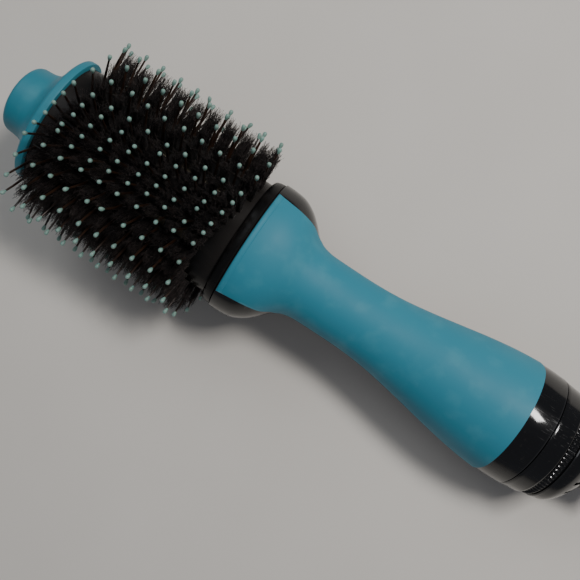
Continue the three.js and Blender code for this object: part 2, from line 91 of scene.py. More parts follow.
# The handle's outside: station, half width and half height.
HANDLE = [
    (SHELL_START + GAP, 30.6, 30.6),
    (64, 30.9, 30.6),
    (72, 30.7, 29.9),
    (84, 29.6, 28.6),
    (98, 27.5, 26.7),
    (112, 24.9, 24.1),
    (128, 22.0, 21.0),
    (144, 19.7, 18.7),
    (160, 18.7, 17.6),
    (180, 18.7, 17.7),
    (187, 19.1, 18.3),
    (192, 20.5, 19.4),
    (196, 23.3, 20.9),
    (200, 27.5, 22.6),
    (205, 31.8, 24.5),
    (211, 35.0, 26.0),
    (217, 36.1, 26.6),
    (SHELL_END, 36.3, 26.8),
]
# Height at which the two shells meet along the sides of the handle.
SPLIT_HEIGHT = 4
# Half width of the mint shell's plan; where this is wider than the handle, the shells meet
# at SPLIT_HEIGHT.
FRONT_EDGE = [
    (FRONT_SHELL_START + 3.7, 31.9),
    (76, 33.0),
    (98, 31.0),
    (128, 25.0),
    (160, 21.5),
    (180, 20.6),
    (187, 20.6),
    (191, 20.9),
    (194, 21.5),
    (196, 22.3),
    (200.7, 25.0),
    (208, 26.5),
    (216, 27.3),
    (SHELL_END - GAP, 28.0),
]
SCREW_STATIONS = (118, 176)


# ---- mesh helpers -------------------------------------------------------------------------
def smooth_run(points, per_span):
    """A Catmull-Rom run through the points, with per_span steps in each span."""
    padded = [points[0], *points, points[-1]]
    run = []
    for index in range(1, len(padded) - 2):
        before, here, there, after = padded[index - 1:index + 3]
        for step in range(per_span):
            t = step / per_span
            run.append(tuple(
                0.5 * (2 * b + (c - a) * t + (2 * a - 5 * b + 4 * c - d) * t ** 2
                       + (3 * b - a - 3 * c + d) * t ** 3)
                for a, b, c, d in zip(before, here, there, after)
            ))
    run.append(tuple(points[-1]))
    return run


def arc(centre, radius, start, end, steps):
    """Points of an arc in the profile plane, angles in degrees from the X axis."""
    turn = [math.radians(start + (end - start) * step / steps) for step in range(steps + 1)]
    return [(centre[0] + radius * math.cos(a), centre[1] + radius * math.sin(a)) for a in turn]


def oval_rings(stations, sides):
    """Vertices of one oval ring at each station."""
    turn = [2 * math.pi * side / sides for side in range(sides)]
    return [
        (x, width * math.cos(angle), height * math.sin(angle))
        for x, width, height in stations
        for angle in turn
    ]


def oval_body(stations, sides, tube=False):
    """Vertices and faces of oval rings (x, half width, half height); a tube closes on itself."""
    count = len(stations)
    faces = []
    for ring in range(count if tube else count - 1):
        here = ring * sides
        there = (ring + 1) % count * sides
        for side in range(sides):
            turn = (side + 1) % sides
            faces.append((here + side, here + turn, there + turn, there + side))
    if not tube:
        last = (count - 1) * sides
        faces.append(tuple(reversed(range(sides))))
        faces.append(tuple(range(last, last + sides)))
    return oval_rings(stations, sides), faces


def round_tube(profile, sides):
    """A turned piece from a closed profile, clockwise in (x, radius)."""
    return oval_body([(x, radius, radius) for x, radius in profile], sides, tube=True)


def wall_of(outer, thickness):
    """Stations of a tube: along the outside, and back along the inside."""
    inner = [(x, width - thickness, height - thickness) for x, width, height in outer]
    return [*outer, *reversed(inner)]


def make_object(name, vertices, faces):
    """A mesh object from tool millimetres, placed in the row frame."""
    mesh = bpy.data.meshes.new(name)
    mesh.from_pydata([TO_ROW @ Vector(vertex) for vertex in vertices], [], faces)
    mesh.update()
    piece = bpy.data.objects.new(name, mesh)
    bpy.context.scene.collection.objects.link(piece)
    return piece


def fast_object(name, vertices, faces):
    """The same for large numpy arrays of vertices and triangles."""
    matrix = np.array(TO_ROW)
    placed = vertices @ matrix[:3, :3].T + matrix[:3, 3]
    mesh = bpy.data.meshes.new(name)
    mesh.vertices.add(len(placed))
    mesh.vertices.foreach_set("co", placed.astype(np.float32).ravel())
    corners = faces.shape[1]
    mesh.loops.add(faces.size)
    mesh.loops.foreach_set("vertex_index", faces.astype(np.int32).ravel())
    mesh.polygons.add(len(faces))
    mesh.polygons.foreach_set("loop_start", np.arange(0, faces.size, corners, dtype=np.int32))
    mesh.update(calc_edges=True)
    piece = bpy.data.objects.new(name, mesh)
    bpy.context.scene.collection.objects.link(piece)
    return piece


def apply_modifiers(piece):
    """Bakes the modifiers of a piece into its mesh."""
    graph = bpy.context.evaluated_depsgraph_get()
    baked = bpy.data.meshes.new_from_object(piece.evaluated_get(graph))
    piece.modifiers.clear()
    piece.data = baked


def carve(piece, cutter):
    """Cuts the cutter out of the piece, and removes the cutter."""
    step = piece.modifiers.new("cut", "BOOLEAN")
    step.object = cutter
    step.operation = "DIFFERENCE"
    step.solver = "EXACT"
    apply_modifiers(piece)
    bpy.data.objects.remove(cutter)


def bevel(piece, width, segments, angle):
    """Rounds the edges that are sharper than the angle, in degrees."""
    step = piece.modifiers.new("bevel", "BEVEL")
    step.width = width * MM
    step.segments = segments
    step.limit_method = "ANGLE"
    step.angle_limit = math.radians(angle)
    apply_modifiers(piece)


def soften(piece, angle):
    """Smooth shading, with edges sharper than the angle kept sharp."""
    piece.data.shade_smooth()
    piece.data.set_sharp_from_angle(angle=math.radians(angle))


def settle(piece, body, material, nodes=()):
    """Gives a finished piece its material and body, and hides the nodes that it stands for."""
    piece.data.materials.clear()
    piece.data.materials.append(material)
    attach(piece, body)
    if nodes:
        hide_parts(*nodes)


def box_tool(low, high, turn=0.0):
    """Vertices and faces of a box in tool millimetres, turned about the X axis."""
    spin = Matrix.Rotation(turn, 3, "X")
    corners = [
        spin @ Vector((x, y, z))
        for x in (low[0], high[0])
        for y in (low[1], high[1])
        for z in (low[2], high[2])
    ]
    faces = [(0, 1, 3, 2), (4, 6, 7, 5), (0, 4, 5, 1), (2, 3, 7, 6), (0, 2, 6, 4), (1, 5, 7, 3)]
    return corners, faces


def gather(parts):
    """One list of vertices and faces from several."""
    vertices = []
    faces = []
    for part_vertices, part_faces in parts:
        start = len(vertices)
        vertices.extend(part_vertices)
        faces.extend(tuple(start + corner for corner in face) for face in part_faces)
    return vertices, faces


# ---- materials ----------------------------------------------------------------------------
def shader(name, roughness=0.5, metallic=0.0, coat=0.0, coat_roughness=0.1, specular=0.5):
    """A new material, its node tree, its Principled shader and its coordinates."""
    material = bpy.data.materials.new(name)
    material.use_nodes = True
    nodes = material.node_tree.nodes
    principled = nodes["Principled BSDF"]
    principled.inputs["Roughness"].default_value = roughness
    principled.inputs["Metallic"].default_value = metallic
    principled.inputs["Specular IOR Level"].default_value = specular
    principled.inputs["Coat Weight"].default_value = coat
    principled.inputs["Coat Roughness"].default_value = coat_roughness
    place = nodes.new("ShaderNodeTexCoord").outputs["Object"]
    return material, material.node_tree, principled, place


def noise_field(tree, place, scale, detail, stretch=None):
    """Noise at so many features a metre, stretched along the row axes where asked."""
    if stretch:
        mapping = tree.nodes.new("ShaderNodeMapping")
        mapping.inputs["Scale"].default_value = stretch
        tree.links.new(place, mapping.inputs["Vector"])
        place = mapping.outputs["Vector"]
    field = tree.nodes.new("ShaderNodeTexNoise")
    field.inputs["Scale"].default_value = scale
    field.inputs["Detail"].default_value = detail
    tree.links.new(place, field.inputs["Vector"])
    return field.outputs["Fac"]


def remap(tree, value, low, high, start=0.3, end=0.7):
    """The value taken from start..end to low..high."""
    step = tree.nodes.new("ShaderNodeMapRange")
    step.inputs["From Min"].default_value = start
    step.inputs["From Max"].default_value = end
    step.inputs["To Min"].default_value = low
    step.inputs["To Max"].default_value = high
    tree.links.new(value, step.inputs["Value"])
    return step.outputs["Result"]


def blend_colours(tree, factor, first, second):
    """A colour between two, which are RGB values or sockets."""
    mix = tree.nodes.new("ShaderNodeMix")
    mix.data_type = "RGBA"
    tree.links.new(factor, mix.inputs["Factor"])
    for socket, colour in ((mix.inputs["A"], first), (mix.inputs["B"], second)):
        if isinstance(colour, tuple):
            socket.default_value = (*colour, 1.0)
        else:
            tree.links.new(colour, socket)
    return mix.outputs["Result"]


def add_bump(tree, principled, height, strength, distance):
    """Relief from a height, at most the distance deep, in millimetres."""
    bump = tree.nodes.new("ShaderNodeBump")
    bump.inputs["Strength"].default_value = strength
    bump.inputs["Distance"].default_value = distance * MM
    tree.links.new(height, bump.inputs["Height"])
    tree.links.new(bump.outputs["Normal"], principled.inputs["Normal"])


def edge_wear(tree, start, end):
    """1 on sharp convex edges, 0 elsewhere."""
    pointiness = tree.nodes.new("ShaderNodeNewGeometry").outputs["Pointiness"]
    return remap(tree, pointiness, 0.0, 1.0, start, end)


def worn_plastic(name, base, patch, worn, roughness, grain, **finish):
    """Moulded plastic: slow colour drift, handling patches, pale edges and a fine grain."""
    material, tree, principled, place = shader(name, **finish)
    drift = remap(tree, noise_field(tree, place, scale=22, detail=3), 0.0, 1.0)
    colour = blend_colours(tree, drift, base, patch)
    rubbed = noise_field(tree, place, scale=90, detail=8)
    scuffs = remap(tree, rubbed, 0.0, 0.5, start=0.52, end=0.7)
    colour = blend_colours(tree, scuffs, colour, worn)
    colour = blend_colours(tree, edge_wear(tree, start=0.53, end=0.6), colour, worn)
    tree.links.new(colour, principled.inputs["Base Color"])
    handled = noise_field(tree, place, scale=55, detail=6)
    tree.links.new(remap(tree, handled, *roughness), principled.inputs["Roughness"])
    moulded = noise_field(tree, place, scale=grain, detail=3)
    add_bump(tree, principled, moulded, strength=0.25, distance=0.06)
    return material


def gloss_black_plastic(name):
    """Glossy black moulding with dust, wiped streaks and hairline scratches."""
    black, dusty, rubbed = (0.003, 0.003, 0.0035), (0.022, 0.019, 0.016), (0.03, 0.03, 0.032)
    material, tree, principled, place = shader(
        name, coat=0.35, coat_roughness=0.04, specular=0.4,
    )
    specks = noise_field(tree, place, scale=420, detail=9)
    dust = remap(tree, specks, 0.0, 1.0, start=0.62, end=0.78)
    colour = blend_colours(tree, dust, black, dusty)
    colour = blend_colours(tree, edge_wear(tree, start=0.54, end=0.62), colour, rubbed)
    tree.links.new(colour, principled.inputs["Base Color"])
    streaks = noise_field(tree, place, scale=130, detail=6, stretch=(0.25, 1.6, 1.6))
    hairlines = noise_field(tree, place, scale=1500, detail=2, stretch=(0.05, 1.0, 1.0))
    gloss = tree.nodes.new("ShaderNodeMath")
    gloss.operation = "ADD"
    tree.links.new(remap(tree, streaks, 0.06, 0.2), gloss.inputs[0])
    tree.links.new(remap(tree, hairlines, 0.0, 0.3, start=0.6, end=0.7), gloss.inputs[1])
    tree.links.new(gloss.outputs["Value"], principled.inputs["Roughness"])
    ripple = noise_field(tree, place, scale=60, detail=2)
    add_bump(tree, principled, ripple, strength=0.15, distance=0.1)
    return material


def pin_plastic(name):
    """Dark nylon, with browner stretches."""
    dark, brown = (0.008, 0.005, 0.004), (0.05, 0.024, 0.013)
    material, tree, principled, place = shader(name, roughness=0.34)
    shade = remap(tree, noise_field(tree, place, scale=160, detail=3), 0.0, 1.0)
    tree.links.new(blend_colours(tree, shade, dark, brown), principled.inputs["Base Color"])
    grain = noise_field(tree, place, scale=900, detail=2)
    add_bump(tree, principled, grain, strength=0.2, distance=0.03)
    return material


def ball_tip_plastic(name):
    """Soft pale mint beads, a little soiled."""
    clean, soiled = (0.25, 0.41, 0.35), (0.14, 0.22, 0.19)
    material, tree, principled, place = shader(name, roughness=0.38)
    spots = noise_field(tree, place, scale=140, detail=5)
    soil = remap(tree, spots, 0.0, 0.6, start=0.45, end=0.75)
    tree.links.new(blend_colours(tree, soil, clean, soiled), principled.inputs["Base Color"])
    principled.inputs["Subsurface Weight"].default_value = 0.15
    principled.inputs["Subsurface Scale"].default_value = 0.5 * MM
    grain = noise_field(tree, place, scale=1500, detail=2)
    add_bump(tree, principled, grain, strength=0.15, distance=0.02)
    return material


def bristle_fibre(name, dark, light):
    """Crimped boar-type bristle: brown-black, with paler grey strands of painted sheen."""
    root = (0.008, 0.006, 0.006)
    material, tree, principled, place = shader(name, specular=0.15)
    hairs = noise_field(tree, place, scale=1100, detail=3)
    # Paler strands: this second colour is painted sheen on some fibres, not a colour of their own.
    strand = remap(tree, hairs, 0.0, 1.0, start=0.45, end=0.74)
    clump = remap(tree, noise_field(tree, place, scale=140, detail=4), 0.0, 1.0)
    colour = blend_colours(tree, strand, dark, light)
    colour = blend_colours(tree, clump, colour, root)
    tree.links.new(colour, principled.inputs["Base Color"])
    dull = remap(tree, strand, 0.5, 0.75, start=0.0, end=1.0)
    tree.links.new(dull, principled.inputs["Roughness"])
    principled.inputs["Sheen Weight"].default_value = 0.04
    principled.inputs["Sheen Roughness"].default_value = 0.5
    scales = noise_field(tree, place, scale=2500, detail=2)
    add_bump(tree, principled, scales, strength=0.3, distance=0.05)
    return material


def metal(name, base, dull, roughness):
    """Plated or drawn metal with a fine grain and dull patches."""
    material, tree, principled, place = shader(name, metallic=1.0)
    patch = remap(tree, noise_field(tree, place, scale=120, detail=5), 0.0, 1.0)
    tree.links.new(blend_colours(tree, patch, base, dull), principled.inputs["Base Color"])
    grain = noise_field(tree, place, scale=700, detail=4)
    tree.links.new(remap(tree, grain, *roughness), principled.inputs["Roughness"])
    add_bump(tree, principled, grain, strength=0.15, distance=0.03)
    return material


def mica_sheet(name):
    """Pressed mica: flaky, speckled and faintly glossy."""
    pale, brown = (0.52, 0.44, 0.30), (0.30, 0.25, 0.17)
    material, tree, principled, place = shader(name, coat=0.3, coat_roughness=0.3)
    flakes = tree.nodes.new("ShaderNodeTexVoronoi")
    flakes.inputs["Scale"].default_value = 500
    tree.links.new(place, flakes.inputs["Vector"])
    fleck = remap(tree, flakes.outputs["Distance"], 0.0, 1.0, start=0.1, end=0.8)
    tree.links.new(blend_colours(tree, fleck, pale, brown), principled.inputs["Base Color"])
    dull = remap(tree, fleck, 0.35, 0.6, start=0.0, end=1.0)
    tree.links.new(dull, principled.inputs["Roughness"])
    add_bump(tree, principled, flakes.outputs["Distance"], strength=0.3, distance=0.05)
    return material


MINT_SHELL = worn_plastic(
    "mint shell", (0.036, 0.258, 0.358), (0.042, 0.272, 0.372), (0.072, 0.322, 0.412),
    roughness=(0.50, 0.64), grain=2600, specular=0.32, coat=0.03, coat_roughness=0.4,
)
MINT_TIP = worn_plastic(
    "mint tip", (0.028, 0.228, 0.308), (0.034, 0.242, 0.322), (0.06, 0.30, 0.37),
    roughness=(0.42, 0.56), grain=2200, specular=0.35, coat=0.03, coat_roughness=0.4,
)
GLOSS_BLACK = gloss_black_plastic("gloss black")
BARREL_BLACK = worn_plastic(
    "barrel black", (0.005, 0.005, 0.005), (0.008, 0.007, 0.007), (0.022, 0.019, 0.017),
    roughness=(0.18, 0.34), grain=1800, specular=0.2,
)
GLAND_BLACK = worn_plastic(
    "gland black", (0.008, 0.008, 0.009), (0.012, 0.011, 0.011), (0.035, 0.031, 0.028),
    roughness=(0.45, 0.65), grain=1500,
)
INNER_PLASTIC = worn_plastic(
    "inner plastic", (0.07, 0.07, 0.074), (0.09, 0.09, 0.092), (0.14, 0.13, 0.13),
    roughness=(0.5, 0.7), grain=1500,
)
LEAD_SLEEVE = worn_plastic(
    "lead sleeve", (0.30, 0.03, 0.028), (0.36, 0.045, 0.04), (0.42, 0.12, 0.1),
    roughness=(0.4, 0.6), grain=1500,
)
CIRCUIT_BOARD = worn_plastic(
    "circuit board", (0.03, 0.16, 0.06), (0.05, 0.21, 0.09), (0.32, 0.34, 0.25),
    roughness=(0.35, 0.6), grain=1200, coat=0.3,
)
PIN_NYLON = pin_plastic("pin nylon")
PIN_TIP = ball_tip_plastic("pin tip")
# The second colour of each bristle material is the painted sheen of its paler strands.
BRISTLE_CORE = bristle_fibre("bristle core", (0.006, 0.005, 0.005), (0.014, 0.011, 0.010))
BRISTLE_HAIR = bristle_fibre("bristle hair", (0.010, 0.007, 0.006), (0.19, 0.145, 0.135))
STEEL = metal("plated steel", (0.62, 0.62, 0.64), (0.45, 0.44, 0.43), (0.25, 0.45))
HEATER_WIRE = metal("heater wire", (0.42, 0.36, 0.32), (0.26, 0.21, 0.2), (0.35, 0.6))
MICA = mica_sheet("mica")

SLOT_MATERIALS = {
    "steel": STEEL,
    "inner_plastic": INNER_PLASTIC,
    "heater_wire": HEATER_WIRE,
    "mica": MICA,
    "circuit_board": CIRCUIT_BOARD,
    "lead_insulation": LEAD_SLEEVE,
    "gloss_black": GLOSS_BLACK,
    "barrel_black": BARREL_BLACK,
    "gland_black": GLAND_BLACK,
    "mint_shell": MINT_SHELL,
    "mint_tip": MINT_TIP,
    "bristle": BRISTLE_CORE,
}


def dress_cad_nodes():
    """Every carried node takes the finish of its slot."""
    for entry in frame["record"]["subparts"]:
        piece = frame["nodes"][entry["node"]]
        piece.data.materials.clear()
        piece.data.materials.append(SLOT_MATERIALS[entry["material_slot"]])


# ---- handle shells ------------------------------------------------------------------------
HANDLE_RUN = smooth_run(HANDLE, 6)
EDGE_RUN = smooth_run(FRONT_EDGE, 6)
FRONT_PROUD = 0.35
FRONT_WALL = WALL - 0.2
FRONT_COLUMNS = 80
# Rounded bead along the front edge: distance from its rear side and height.
LIP_BEAD = [
    (0, 0), (0.15, 0.18), (0.5, 0.36), (1.1, 0.55), (1.8, 0.68), (2.4, 0.66), (2.8, 0.5), (3, 0.2),
]
LIP_START = SHELL_END - GAP - 3.0
# Rounded corners at the rear of the mint shell.
CORNER_LENGTH = 3.4
CORNER_DEPTH = 5.5
CORNER_STEPS = 12
BODY_STEPS = 150
# Gap between the shells, and how far their cutter reaches beyond them.
SHELL_JOINT = 0.28
CUTTER_MARGIN = 4
CUTTER_TOP = 60
SCREW_HOLE_RADIUS = 2.9
SCREW_HOLE_SPAN = (-40, -10)
SCREW_HOLE_SIDES = 32


def look_up(run, x, column):
    """Linear reading of one column of a run at a station."""
    for (x0, *low), (x1, *high) in zip(run, run[1:]):
        if x <= x1:
            share = max(0.0, (x - x0) / (x1 - x0))
            return low[column] + (high[column] - low[column]) * share
    return run[-1][column + 1]


def front_half_width(x):
    """Half width of the mint shell's plan, with rounded corners at its rear."""
    half = look_up(EDGE_RUN, x, 0)
    left = 1 - (x - FRONT_SHELL_START) / CORNER_LENGTH
    if left > 0:
        half -= CORNER_DEPTH * (1 - math.sqrt(max(0.0, 1 - left ** 2)))
    return half


def front_stations():
    """Stations of the mint shell, close together round its corners and its lip."""
    corner = [
        FRONT_SHELL_START
        + CORNER_LENGTH * (1 - math.cos(math.pi / 2 * step / CORNER_STEPS))
        for step in range(CORNER_STEPS)
    ]
    body = np.linspace(FRONT_SHELL_START + CORNER_LENGTH, LIP_START - 0.5, BODY_STEPS)
    return [*corner, *body, *(LIP_START + along_lip for along_lip, _ in LIP_BEAD)]


def front_shell():
    """Mint half of the handle, a curved sheet with a lip, given its wall inwards."""
    vertices = []
    stations = front_stations()
    for x in stations:
        rise = FRONT_PROUD + (look_up(LIP_BEAD, x - LIP_START, 0) if x > LIP_START else 0.0)
        width = look_up(HANDLE_RUN, x, 0) + rise
        height = look_up(HANDLE_RUN, x, 1) + rise
        reach = min(
            math.asin(min(1.0, front_half_width(x) / width)),
            math.acos(SPLIT_HEIGHT / height),
        )
        for column in range(FRONT_COLUMNS + 1):
            turn = reach * (2 * column / FRONT_COLUMNS - 1)
            vertices.append((x, width * math.sin(turn), height * math.cos(turn)))
    faces = []
    for row in range(len(stations) - 1):
        for column in range(FRONT_COLUMNS):
            here = row * (FRONT_COLUMNS + 1) + column
            there = here + FRONT_COLUMNS + 1
            faces.append((here, there, there + 1, here + 1))
    piece = make_object("front_shell_fine", vertices, faces)
    step = piece.modifiers.new("wall", "SOLIDIFY")
    step.thickness = FRONT_WALL * MM
    step.offset = -1
    apply_modifiers(piece)
    bevel(piece, width=0.3, segments=3, angle=50)
    soften(piece, 40)
    settle(piece, "brush", MINT_SHELL, ["front_shell"])


def front_outline(margin):
    """Plan of the mint shell, a closed list of (x, y), grown by the margin."""
    side = [(x, front_half_width(x) + margin) for x in front_stations()]
    rear = FRONT_SHELL_START - margin
    half = side[0][1]
    front = SHELL_END + CUTTER_MARGIN
    end = side[-1][1]
    mirrored = [(x, -y) for x, y in reversed(side)]
    return [(rear, -half), (rear, half), *side, (front, end), (front, -end), *mirrored]


def prism(outline, low, high):
    """Vertices and faces of an upright prism over a closed outline of (x, y)."""
    count = len(outline)
    vertices = [(x, y, z) for z in (low, high) for x, y in outline]
    faces = [tuple(reversed(range(count))), tuple(range(count, 2 * count))]
    for corner in range(count):
        turned = (corner + 1) % count
        faces.append((corner, turned, count + turned, count + corner))
    return vertices, faces


def screw_hole(x):
    """Cutter for the hole over a screw, under the handle."""
    turn = [2 * math.pi * side / SCREW_HOLE_SIDES for side in range(SCREW_HOLE_SIDES)]
    outline = [
        (x + SCREW_HOLE_RADIUS * math.cos(a), SCREW_HOLE_RADIUS * math.sin(a)) for a in turn
    ]
    return prism(outline, *SCREW_HOLE_SPAN)


def rear_shell():
    """Black half of the handle: the whole oval less the mint half and the screw holes."""
    body = oval_body(wall_of(HANDLE_RUN, WALL), OVAL_SIDES, tube=True)
    piece = make_object("rear_shell_fine", *body)
    front = prism(front_outline(SHELL_JOINT), SPLIT_HEIGHT - SHELL_JOINT, CUTTER_TOP)
    carve(piece, make_object("front_cutter", *front))
    holes = gather([screw_hole(x) for x in SCREW_STATIONS])
    carve(piece, make_object("screw_cutter", *holes))
    soften(piece, 35)
    settle(piece, "brush", GLOSS_BLACK, ["rear_shell"])


def neck_collar():
    """Ring between the handle and the barrel."""
    outer = [
        (SHELL_END + GAP, 34.9, 25.6),
        (SHELL_END + GAP + 0.5, 35.5, 26.2),
        *smooth_run([
            (SHELL_END + 1.5, 35.5, 26.2),
            (BARREL_START - 2.5, 35.2, 25.7),
            (BARREL_START - 0.8, 34.6, 25.0),
            (BARREL_START, 33.6, 24.2),
        ], 6),
    ]
    inner = [(BARREL_START, 31.0, 21.6), (SHELL_END + GAP, 31.0, 21.6)]
    piece = make_object("neck_collar_fine", *oval_body([*outer, *inner], OVAL_SIDES, tube=True))
    soften(piece, 40)
    settle(piece, "brush", BARREL_BLACK, ["neck_collar"])


# ---- barrel and cool tip ------------------------------------------------------------------
VENT_PITCH = 16
VENTS = [BARREL_START + VENT_PITCH * number for number in range(1, 6)]
VENT_LENGTH = 11
VENT_CENTRE = 14.2
VENT_HALF_WIDTH = 1.6
VENT_CUT_REACH = 40
# How far the cutter of a barrel half reaches, across and along.
PAST_BARREL = 60
PAST_TIP = 400
# Knob of the cool tip: a flat crown inside a rounded edge.
CROWN_RADIUS = 13.8
CROWN_HEIGHT = 0.6
KNOB_EDGE_START = TIP_END - 3.0
KNOB_EDGE_LENGTH = 2.4
KNOB_EDGE_DEPTH = 4.2
KNOB_FLOOR = TIP_END - 3.8


def barrel_half(side):
    """One half of the slotted oval barrel: side is 1 for the upper and -1 for the lower half."""
    name = "barrel_upper" if side > 0 else "barrel_lower"
    stations = [
        (BARREL_START + GAP, BARREL_HALF_WIDTH, BARREL_HALF_HEIGHT),
        *[(x, BARREL_HALF_WIDTH, BARREL_HALF_HEIGHT) for x in np.linspace(240, 330, 10)],
        (BARREL_END, BARREL_HALF_WIDTH, BARREL_HALF_HEIGHT),
    ]
    body = oval_body(wall_of(stations, BARREL_WALL), OVAL_SIDES, tube=True)
    piece = make_object(name + "_fine", *body)
    low, high = (-PAST_BARREL, GAP / 2) if side > 0 else (-GAP / 2, PAST_BARREL)
    other = box_tool((0, -PAST_BARREL, low), (PAST_TIP, PAST_BARREL, high))
    carve(piece, make_object("half_cutter", *other))
    slots = []
    for start in VENTS:
        for hand in (-1, 1):
            middle = hand * VENT_CENTRE
            slots.append(box_tool(
                (start, middle - VENT_HALF_WIDTH, -VENT_CUT_REACH),
                (start + VENT_LENGTH, middle + VENT_HALF_WIDTH, VENT_CUT_REACH),
            ))
    carve(piece, make_object("vent_cutter", *gather(slots)))
    soften(piece, 30)
    settle(piece, "brush", BARREL_BLACK, [name])


def cool_tip():
    """Mint end of the barrel: a flange that narrows through a fillet to a round knob."""
    back = BARREL_END + GAP
    flange = [
        (back, 33.9, 23.5),
        (back + 0.25, 34.5, 24.1),
        (back + 0.7, 34.7, 24.3),
        (back + 3.3, 34.6, 24.2),
        (back + 3.9, 34.3, 23.95),
        (back + 4.3, 33.8, 23.6),
    ]
    fillet = smooth_run([
        (back + 4.7, 33.1, 23.2),
        (back + 6.5, 27.4, 21.4),
        (back + 9.7, 21.4, 19.4),
        (back + 14.3, 18.9, 18.7),
        (back + 20.9, 18.2, 18.1),
    ], 10)
    dome = [
        (
            KNOB_EDGE_START + KNOB_EDGE_LENGTH * math.sin(turn),
            CROWN_RADIUS + KNOB_EDGE_DEPTH * math.cos(turn),
        )
        for turn in np.linspace(0.1, math.pi / 2, 9)
    ]
    crown = [
        (TIP_END - CROWN_HEIGHT + CROWN_HEIGHT * (1 - (r / CROWN_RADIUS) ** 2), r)
        for r in (11.0, 8.0, 5.0, 2.0)
    ]
    inside = [(KNOB_FLOOR, 2.0, 2.0), (KNOB_FLOOR, 11.0, 11.0), (back, 12.0, 12.0)]
    stations = [
        *inside,
        *flange,
        *fillet,
        *[(x, r, r) for x, r in dome + crown],
    ]
    piece = make_object("cool_tip_fine", *oval_body(stations, OVAL_SIDES))
    soften(piece, 40)
    settle(piece, "brush", MINT_TIP, ["cool_tip"])


# ---- bristle rows -------------------------------------------------------------------------
# Carrier rail: its section as (across, outward), and its reach past the end pins.
RAIL_SECTION = [
    (-1.3, 0.25), (1.3, 0.25), (1.25, 0.95), (0.8, 1.35), (-0.8, 1.35), (-1.25, 0.95),
]
RAIL_OVERHANG = 1.6

# Pins: how high the foot sits, the share bent by use, and how far the tips lean.
PIN_SEED = 11
PIN_FOOT = 0.6
BENT_SHARE = 0.16
BENT_LEAN = (1.4, 3.2)
STRAIGHT_LEAN = 0.5
# Profiles as (share of the pin's length, radius).
PIN_SHAFT = [(0.0, 0.95), (0.05, 0.78), (0.3, 0.68), (0.6, 0.58), (0.8, 0.53), (0.93, 0.5)]
PIN_BEAD = [
    (0.84, 0.56), (0.865, 0.72), (0.895, 0.96), (0.925, 1.06),
    (0.955, 1.06), (0.98, 0.88), (0.993, 0.56), (1.0, 0.2),
]
SHAFT_SIDES = 8
BEAD_SIDES = 10

# Tufts: the reach is a share of the pin's length, less at the narrow ends of the oval.
TUFT_SEED = 5
TUFT_LENGTH = 5.6
TUFT_WIDTH = 2.6
TUFT_REACH = 0.80
TUFT_SIDE_LOSS = 0.10
TUFT_LEAN = 0.8
CORE_COLUMNS = 10
CORE_LEVELS = 6
CORE_REACH = 0.66
# Width of a core as a share of the tuft's: at its root, more at its top, less on its last ring.
CORE_ROOT = 0.72
CORE_FLARE = 0.16
CORE_CROWN = 0.3
# Fibres: heights as shares of the tuft's reach (mean, spread and limits), crimp and splay.
FIBRE_SEED = 23
FIBRES_PER_TUFT = 72
FIBRE_STEPS = 13
FIBRE_RADIUS = 0.12
FIBRE_BATCHES = 9
FIBRE_HEIGHT = (0.93, 0.11)
FIBRE_HEIGHT_LIMITS = (0.55, 1.13)
FIBRE_CRIMP = (0.12, 0.42)
SPLAY_ALONG = 0.85
SPLAY_ACROSS = 1.0
SPLAY_CURVE = 1.7


def bristle_rows():
    """Foot of the first pin, outward direction and pin length of each row, in node order."""
    flat = [
        (math.acos((row + 0.5) * FLAT_ROW_PITCH / BARREL_HALF_WIDTH), True)
        for row in range(FLAT_ROWS_PER_SIDE)
    ]
    quarter = [(math.radians(angle), False) for angle in SIDE_ROW_ANGLES] + flat[::-1]
    upper = quarter + [(math.pi - angle, trim) for angle, trim in reversed(quarter)]
    rows = []
    for angle, trim in upper + [(angle + math.pi, trim) for angle, trim in upper]:
        y = BARREL_HALF_WIDTH * math.cos(angle)
        z = BARREL_HALF_HEIGHT * math.sin(angle)
        outward = Vector((0, y / BARREL_HALF_WIDTH ** 2, z / BARREL_HALF_HEIGHT ** 2)).normalized()
        level = BARREL_HALF_HEIGHT + PIN_LENGTH
        length = (level - abs(z)) / abs(outward.z) if trim else PIN_LENGTH
        first = FIRST_PIN + ROW_STAGGER * math.sin(2 * angle)
        rows.append((Vector((first, y, z)), outward, length))
    return rows


def row_rails():
    """Carrier rails with rounded tops, one under each row."""
    parts = []
    for root, outward, _ in bristle_rows():
        across = outward.cross(Vector((1, 0, 0)))
        ends = (RAIL_OVERHANG, -(PINS_PER_ROW - 1) * PIN_PITCH - RAIL_OVERHANG)
        vertices = [
            root + Vector((x, 0, 0)) + across * side + outward * up
            for x in ends
            for side, up in RAIL_SECTION
        ]
        count = len(RAIL_SECTION)
        faces = [tuple(range(count)), tuple(reversed(range(count, 2 * count)))]
        for corner in range(count):
            turned = (corner + 1) % count
            faces.append((corner, count + corner, count + turned, turned))
        parts.append((vertices, faces))
    piece = make_object("row_rails_fine", *gather(parts))
    bevel(piece, width=0.15, segments=1, angle=30)
    soften(piece, 30)
    settle(piece, "brush", BARREL_BLACK)


def pin_paths():
    """Centre lines of all pins: most stand straight, some are bent by use."""
    pick = random.Random(PIN_SEED)
    paths = []
    for root, outward, length in bristle_rows():
        across = outward.cross(Vector((1, 0, 0)))
        for pin in range(PINS_PER_ROW):
            foot = root + Vector((-pin * PIN_PITCH, 0, 0)) + outward * PIN_FOOT
            bent = pick.random() < BENT_SHARE
            lean = pick.uniform(*BENT_LEAN) if bent else abs(pick.gauss(0, STRAIGHT_LEAN))
            heading = pick.uniform(0, 2 * math.pi)
            sway = Vector((math.cos(heading), 0, 0)) + across * math.sin(heading)
            sway *= lean
            sink = lean ** 2 / (2 * length) * 1.4
            paths.append((foot, outward, sway, length - PIN_FOOT - sink))
    return paths


